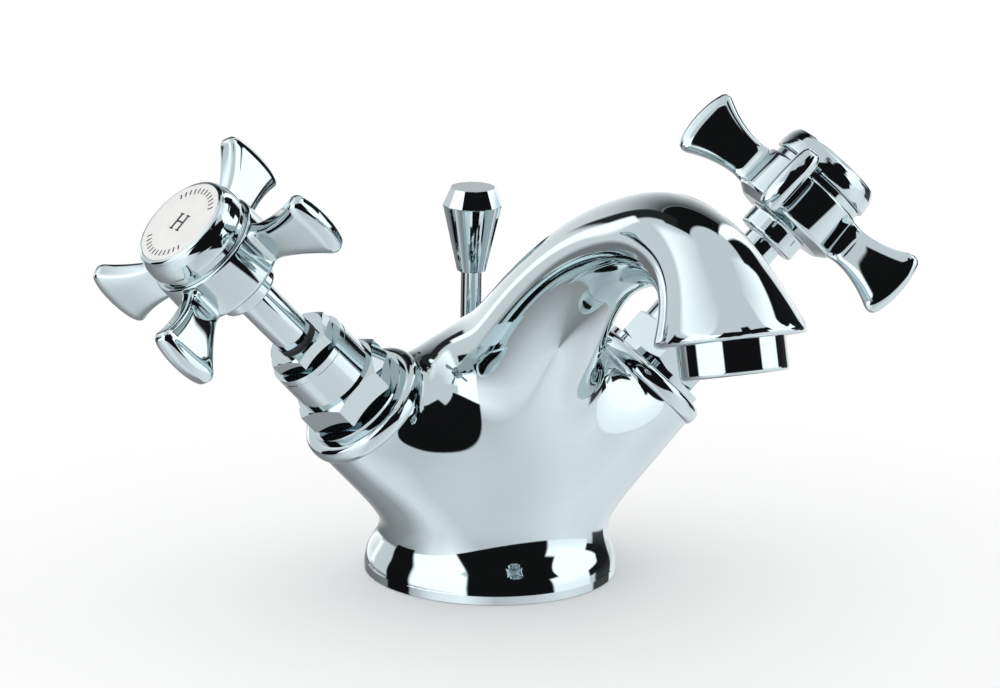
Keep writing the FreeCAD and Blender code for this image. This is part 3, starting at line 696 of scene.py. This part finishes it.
def turned_brass(name, colour):
    """Machined brass with fine turning lines."""
    material, shader, place = new_material(name, Metallic=1.0)
    line = noise(place, 900.0, 2.0)
    feed(shader, line.between(0.3, 0.7).mix(shaded(colour, 0.8), colour), "Base Color")
    feed(shader, 0.22 + 0.2 * line, "Roughness")
    return material


def dress(nodes, material):
    """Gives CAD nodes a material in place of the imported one."""
    for name in nodes:
        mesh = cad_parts[name].data
        mesh.materials.clear()
        mesh.materials.append(material)


def both(*names):
    """Node names of both valves."""
    return [side + "_" + name for side in SIDES for name in names]


# Stage


# Patches of the studio's dome, later ones over earlier ones: from and to bearing and from and to height in
# degrees (bearing 0 is in front of the spout, 90 on the cold side), level at the lower and the upper edge,
# softness of the edges in degrees
PATCHES = (
    (-152, -68, 26, 66, 1.85, 1.05, 6.0),
    (48, 104, 42, 74, 2.0, 1.0, 5.0),
    (-102, -46, -12, 34, 1.9, 2.0, 1.5),
    (-133, -104, -22, 17, 0.01, 0.01, 1.5),
    (-45, 35, -12, 46, 0.01, 0.01, 1.5),
    (34, 46, 24, 44, 0.01, 0.01, 1.5),
    (-9, 10, 45, 60, 0.01, 0.01, 2.0),
    (36, 78, -12, 22, 1.5, 1.9, 2.0),
    (46, 78, 8, 50, 1.9, 1.9, 1.5),
    (78, 124, -3, 42, 0.02, 0.01, 1.5),
    (76, 93, 9, 23, 1.9, 1.9, 2.0),
    (102, 124, 40, 54, 0.01, 0.01, 1.5),
    (86, 118, -24, 0, 0.10, 0.02, 4.0),
    (118, 136, -4, 22, 1.3, 1.2, 2.0),
    (125, 136, 12, 54, 1.9, 1.9, 1.5),
    (136, 196, -12, 36, 1.45, 0.08, 2.0),
    (136, 202, 36, 57, 0.01, 0.01, 2.0),
    (188, 200, 4, 46, 0.03, 0.03, 2.0),
    (196, 203, -8, 17, 1.8, 1.8, 1.0),
)

# Level of the dome under the horizon by bearing, just below it and deep down
GROUND_BEARINGS = (-180, -145, -110, -80, -50, -20, 20, 50, 90, 120, 145, 180)
GROUND_LEVELS = (
    (0.22, 0.30, 0.45, 1.35, 1.55, 0.85, 1.05, 1.30, 1.10, 1.25, 0.90, 0.22),
    (0.40, 0.50, 0.90, 1.20, 1.20, 1.03, 1.14, 1.20, 1.28, 0.95, 0.35, 0.40),
)

# Height in degrees where the ground sets in and where it starts to change to its deep level, with the spans
GROUND_START, GROUND_SPAN = -10, 4
DEEP_START, DEEP_SPAN = -18, 42


def dome_level(bearing, height):
    """Level of the dome: even above the horizon, shaded by bearing below it, with each patch laid over by the
    product of its two soft bands."""
    near, deep = (np.interp(bearing, GROUND_BEARINGS, row) for row in GROUND_LEVELS)
    ground = near + (deep - near) * np.clip((DEEP_START - height) / DEEP_SPAN, 0, 1)
    level = 1 + (ground - 1) * np.clip((GROUND_START - height) / GROUND_SPAN, 0, 1)
    for west, east, low, high, foot, top, soft in PATCHES:
        aside = np.abs((bearing - (west + east) / 2 + 180) % 360 - 180)
        across = np.clip(((east - west) / 2 - aside) / soft + 0.5, 0, 1)
        upright = np.clip(np.minimum(height - low, high - height) / soft + 0.5, 0, 1)
        value = foot + (top - foot) * np.clip((height - low) / (high - low), 0, 1)
        level = level + (value - level) * across * upright
    return level


def studio_dome():
    """Dome round the object, seen only in reflections: a grid of bearing and height angles on a sphere, whose
    level at each point is kept as an attribute."""
    bearing, height = np.meshgrid(np.linspace(-180, 180, 361), np.linspace(-90, 90, 181))
    turn, rise = np.radians(bearing), np.radians(height)
    ways = np.stack([np.sin(turn) * np.cos(rise), -np.cos(turn) * np.cos(rise), np.sin(rise)], axis=-1)
    points = DOME_RADIUS * ways.reshape(-1, 3) + np.array(DOME_MIDDLE)
    mesh = bpy.data.meshes.new("studio_dome")
    mesh.from_pydata(points.tolist(), [], grid_faces(*bearing.shape, False).tolist())
    levels = mesh.attributes.new("level", "FLOAT", "POINT")
    levels.data.foreach_set("value", dome_level(bearing, height).astype(np.float32).ravel())
    dome = bpy.data.objects.new("studio_dome", mesh)
    bpy.context.scene.collection.objects.link(dome)
    dome.visible_camera = dome.visible_diffuse = dome.visible_shadow = False
    material, shader, place = new_material("studio_cloth", Roughness=1.0)
    shader.inputs["Base Color"].default_value = (0.0, 0.0, 0.0, 1.0)
    shader.inputs["Specular IOR Level"].default_value = 0.0
    shader.inputs["Emission Strength"].default_value = 1.0
    level = place.add("ShaderNodeAttribute", {"attribute_name": "level"}, output="Fac")
    feed(shader, level * (0.98 + 0.04 * noise(place, 0.8)), "Emission Color")
    mesh.materials.append(material)


# Settings


class MixerCasting(bpy.types.PropertyGroup):
    """Sizes of the smooth casting"""
    valve_tilt: bpy.props.FloatProperty(
        name="Valve tilt", description="Rise of the valve axes above the deck",
        default=math.radians(45.8), subtype="ANGLE")
    valve_sweep: bpy.props.FloatProperty(
        name="Valve sweep", description="Turn of the valve axes towards the spout",
        default=math.radians(5.24), subtype="ANGLE")
    blend: bpy.props.FloatProperty(
        name="Blend", description="Width of the soft blend between arms and stem, in millimetres",
        default=15.0)
    pitch: bpy.props.FloatProperty(
        name="Mesh pitch", description="Width of the casting's mesh cells, in millimetres", default=0.86)
    proud: bpy.props.FloatProperty(
        name="Plating lift", description="Height of the plated skin over the solid, in millimetres",
        default=0.2)


class MixerHandles(bpy.types.PropertyGroup):
    """Sizes of the crossheads, in millimetres"""
    paddle_plane: bpy.props.FloatProperty(
        name="Paddle plane", description="Station of the paddles on the valve axis", default=107.601)
    paddle_half: bpy.props.FloatProperty(
        name="Half thickness", description="Half of the paddles' thickness near the tip", default=2.9)
    paddle_waist: bpy.props.FloatProperty(
        name="Half waist", description="Half of the paddles' thickness at the waist", default=1.65)
    paddle_power: bpy.props.FloatProperty(
        name="Section power", description="Power of the sections, from round at 2 to square", default=4.5)


class MixerFinish(bpy.types.PropertyGroup):
    """Colours and haze of the finishes"""
    plating: bpy.props.FloatVectorProperty(
        name="Plating", description="Colour of the polished plating", default=(0.50, 0.585, 0.615),
        size=3, min=0, max=1, subtype="COLOR")
    plating_haze: bpy.props.FloatProperty(
        name="Plating haze", description="Roughness of the polished plating", default=0.035)
    rubber: bpy.props.FloatVectorProperty(
        name="Rubber", description="Colour of the seals", default=(0.02, 0.02, 0.021),
        size=3, min=0, max=1, subtype="COLOR")
    plastic: bpy.props.FloatVectorProperty(
        name="Plastic", description="Colour of bushes and insert", default=(0.78, 0.79, 0.80),
        size=3, min=0, max=1, subtype="COLOR")
    ceramic: bpy.props.FloatVectorProperty(
        name="Ceramic", description="Colour of the discs", default=(0.86, 0.86, 0.85),
        size=3, min=0, max=1, subtype="COLOR")
    brass: bpy.props.FloatVectorProperty(
        name="Brass", description="Colour of the fixing screws", default=(0.71, 0.52, 0.22),
        size=3, min=0, max=1, subtype="COLOR")
    hot_mark_turn: bpy.props.FloatProperty(
        name="Hot mark turn", description="Turn of the hot disc's mark about its axis",
        default=math.radians(276), subtype="ANGLE")
    cold_mark_turn: bpy.props.FloatProperty(
        name="Cold mark turn", description="Turn of the cold disc's mark about its axis",
        default=math.radians(264), subtype="ANGLE")


class MixerStage(bpy.types.PropertyGroup):
    """Camera, floor and light"""
    azimuth: bpy.props.FloatProperty(
        name="Azimuth", description="Side from which the camera looks", default=math.radians(-25.06),
        subtype="ANGLE")
    elevation: bpy.props.FloatProperty(
        name="Elevation", description="Height of the camera over the deck", default=math.radians(15.39),
        subtype="ANGLE")
    roll: bpy.props.FloatProperty(
        name="Roll", description="Turn of the camera about its view", default=math.radians(1.04),
        subtype="ANGLE")
    lens: bpy.props.FloatProperty(
        name="Lens", description="Focal length on a 36 mm frame", default=188.0, unit="CAMERA")
    floor: bpy.props.FloatVectorProperty(
        name="Floor", description="Colour of the floor", default=(0.97, 0.97, 0.97),
        size=3, min=0, max=1, subtype="COLOR")
    light: bpy.props.FloatProperty(
        name="Light", description="Level of the even light from all round", default=1.03)


# Operators


class MIXER_OT_casting(bpy.types.Operator):
    """Lays the smooth plated skin over the cast body, with its rounded collars"""
    bl_idname = "mixer.casting"
    bl_label = "Casting"

    def execute(self, context):
        size = context.scene.mixer_casting
        finish = context.scene.mixer_finish
        plating = plated("plated_casting", tuple(finish.plating))
        points, faces, normals = casting_surface(CastingField(size.blend, size.proud), size.pitch)
        if len(faces) * 2 > MOST_TRIANGLES:
            raise RuntimeError("the casting's mesh is too fine")
        skin = make_piece("casting_skin", points, faces, "mixer", normals)
        skin.data.materials.append(plating)
        outline = rounded_profile(COLLAR_OUTLINE, COLLAR_ROUNDS, 13)
        for name, side in SIDES.items():
            origin, rows = valve_frame(side)
            points, faces = turned_ring(outline[::-1], origin, rows, 160)
            collar = make_piece(name + "_collar", points, faces, "mixer")
            collar.data.materials.append(plating)
        dress(["body_casting"], plating)
        return {"FINISHED"}


class MIXER_OT_handles(bpy.types.Operator):
    """Shapes the crossheads with their soft paddles, the convex bezels and the fluted knob"""
    bl_idname = "mixer.handles"
    bl_label = "Handles"

    def execute(self, context):
        finish = context.scene.mixer_finish
        plating = plated("plated_handles", tuple(finish.plating))
        hub = rounded_profile(HUB_OUTLINE, HUB_ROUNDS, 9)
        sleeve = rounded_profile(SLEEVE_OUTLINE, SLEEVE_ROUNDS, 5)
        for name, side in SIDES.items():
            origin, rows = valve_frame(side)
            turns = [FIRST_PADDLE[name] + quarter * math.pi / 2 for quarter in range(4)]
            shells = [turned_ring(hub[::-1], origin, rows, 144)]
            shells += [paddle(origin, rows, turn) for turn in turns]
            pieces = {
                "head": joined(shells), "bezel": turned_ring(bezel_outline()[::-1], origin, rows, 160),
                "sleeve": turned_ring(sleeve[::-1], origin, rows, 96)}
            for part, (points, faces) in pieces.items():
                piece = make_piece(name + "_" + part, points, faces, name + "_handle")
                piece.data.materials.append(plating)
                if part == "head":
                    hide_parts(name + "_crosshead")
        knob = make_piece("fluted_knob", *fluted_knob(*KNOB_HEIGHTS), "pop_up_rod", smooth=False)
        knob.data.materials.append(plating)
        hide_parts("lift_knob")
        return {"FINISHED"}


class MIXER_OT_fittings(bpy.types.Operator):
    """Finishes the valves, handles, rod and aerator"""
    bl_idname = "mixer.fittings"
    bl_label = "Fittings"

    def execute(self, context):
        finish = context.scene.mixer_finish
        colour = {key: shaded(getattr(finish, key), 1.0) for key in ("rubber", "plastic", "ceramic", "brass")}
        trim = plated("plated_trim", tuple(finish.plating))
        dress(both("valve_shell", "gland_nut", "spindle", "crosshead", "handle_cap"), trim)
        dress(["lift_rod", "lift_knob", "aerator_housing"], trim)
        dress(both("seat_seal", "spindle_seals", "wiper_ring") + ["base_seal", "aerator_washer"],
              soft_black("seal_rubber", colour["rubber"]))
        dress(both("disc_driver", "thrust_ring", "spline_bush") + ["rod_bush", "aerator_insert"],
              moulded("bush_plastic", colour["plastic"], 0.32))
        dress(both("fixed_disc", "turning_disc"), moulded("disc_ceramic", colour["ceramic"], 0.12))
        dress(both("index_disc"), moulded("index_glaze", colour["ceramic"], 0.10))
        dress(both("handle_screw"), turned_brass("screw_brass", colour["brass"]))
        return {"FINISHED"}


class MIXER_OT_marks(bpy.types.Operator):
    """Prints a plain letter and ticks on the index discs"""
    bl_idname = "mixer.marks"
    bl_label = "Index marks"

    def execute(self, context):
        finish = context.scene.mixer_finish
        ink = soft_black("index_ink", shaded(finish.rubber, 1.0))
        for name, side in SIDES.items():
            origin, rows = valve_frame(side)
            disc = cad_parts[name + "_index_disc"].data
            corners = np.empty(len(disc.vertices) * 3, dtype=np.float32)
            disc.vertices.foreach_get("co", corners)
            top = ((corners.reshape(-1, 3) / MM - origin) @ rows[2]).max()
            turn = finish.hot_mark_turn if name == "hot" else finish.cold_mark_turn
            mark = print_on(name + "_mark", index_mark(name), origin, rows, turn, top + INK_LIFT)
            mark.data.materials.append(ink)
        return {"FINISHED"}


class MIXER_OT_stage(bpy.types.Operator):
    """Sets the camera, the floor and the light"""
    bl_idname = "mixer.stage"
    bl_label = "Stage"

    def execute(self, context):
        scene = context.scene
        stage = scene.mixer_stage
        azimuth, level = stage.azimuth, math.cos(stage.elevation)
        back = np.array([math.sin(azimuth) * level, -math.cos(azimuth) * level, math.sin(stage.elevation)])
        right = np.array([math.cos(azimuth), math.sin(azimuth), 0.0])
        up = np.cross(back, right)
        even, lean = math.cos(stage.roll), math.sin(stage.roll)
        turn = np.eye(4)
        turn[:3, :3] = np.stack([even * right + lean * up, even * up - lean * right, back], axis=1)
        turn[:3, 3] = CAMERA_PLACE
        lens = bpy.data.cameras.new("camera")
        lens.sensor_width = 36.0
        lens.lens = stage.lens
        lens.clip_end = 50.0
        camera = bpy.data.objects.new("camera", lens)
        camera.matrix_world = Matrix(turn.tolist())
        scene.collection.objects.link(camera)
        scene.camera = camera

        mesh = bpy.data.meshes.new("floor")
        corners = ((-1, -1), (1, -1), (1, 1), (-1, 1))
        points = [(FLOOR_HALF * x, FLOOR_HALF * y, -FLOOR_DROP) for x, y in corners]
        mesh.from_pydata(points, [], [(0, 1, 2, 3)])
        floor = bpy.data.objects.new("floor", mesh)
        scene.collection.objects.link(floor)
        material, shader, place = new_material("floor_paper", Roughness=0.9)
        pale, worn = shaded(stage.floor, 1.0), shaded(stage.floor, 0.995)
        feed(shader, noise(place, 3.0).mix(pale, worn), "Base Color")
        mesh.materials.append(material)
        floor.visible_glossy = False
        studio_dome()

        world = bpy.data.worlds.new("studio")
        scene.world = world
        world.use_nodes = True
        ground = world.node_tree.nodes["Background"]
        ground.inputs["Color"].default_value = (1.0, 1.0, 1.0, 1.0)
        ground.inputs["Strength"].default_value = stage.light
        scene.view_settings.view_transform = "Standard"
        return {"FINISHED"}


class MIXER_PT_panel(bpy.types.Panel):
    """Lists the steps that dress the mixer"""
    bl_idname = "MIXER_PT_panel"
    bl_label = "Basin mixer"
    bl_space_type = "VIEW_3D"
    bl_region_type = "UI"
    bl_category = "Mixer"

    def draw(self, context):
        for step in STEPS:
            self.layout.operator(step.bl_idname)
        for group in GROUPS:
            # The first two keys are the type and name that every group has
            settings = getattr(context.scene, group)
            for key in settings.bl_rna.properties.keys()[2:]:
                self.layout.prop(settings, key)


STEPS = (MIXER_OT_casting, MIXER_OT_handles, MIXER_OT_fittings, MIXER_OT_marks, MIXER_OT_stage)
GROUPS = {
    "mixer_casting": MixerCasting,
    "mixer_handles": MixerHandles,
    "mixer_finish": MixerFinish,
    "mixer_stage": MixerStage,
}


def register():
    for name, group in GROUPS.items():
        bpy.utils.register_class(group)
        setattr(bpy.types.Scene, name, bpy.props.PointerProperty(type=group))
    for item in STEPS + (MIXER_PT_panel,):
        bpy.utils.register_class(item)


def unregister():
    for item in reversed(STEPS + (MIXER_PT_panel,)):
        bpy.utils.unregister_class(item)
    for name, group in GROUPS.items():
        delattr(bpy.types.Scene, name)
        bpy.utils.unregister_class(group)


def main():
    register()
    bpy.ops.mixer.casting()
    bpy.ops.mixer.handles()
    bpy.ops.mixer.fittings()
    bpy.ops.mixer.marks()
    bpy.ops.mixer.stage()


if __name__ == "__main__":
    main()
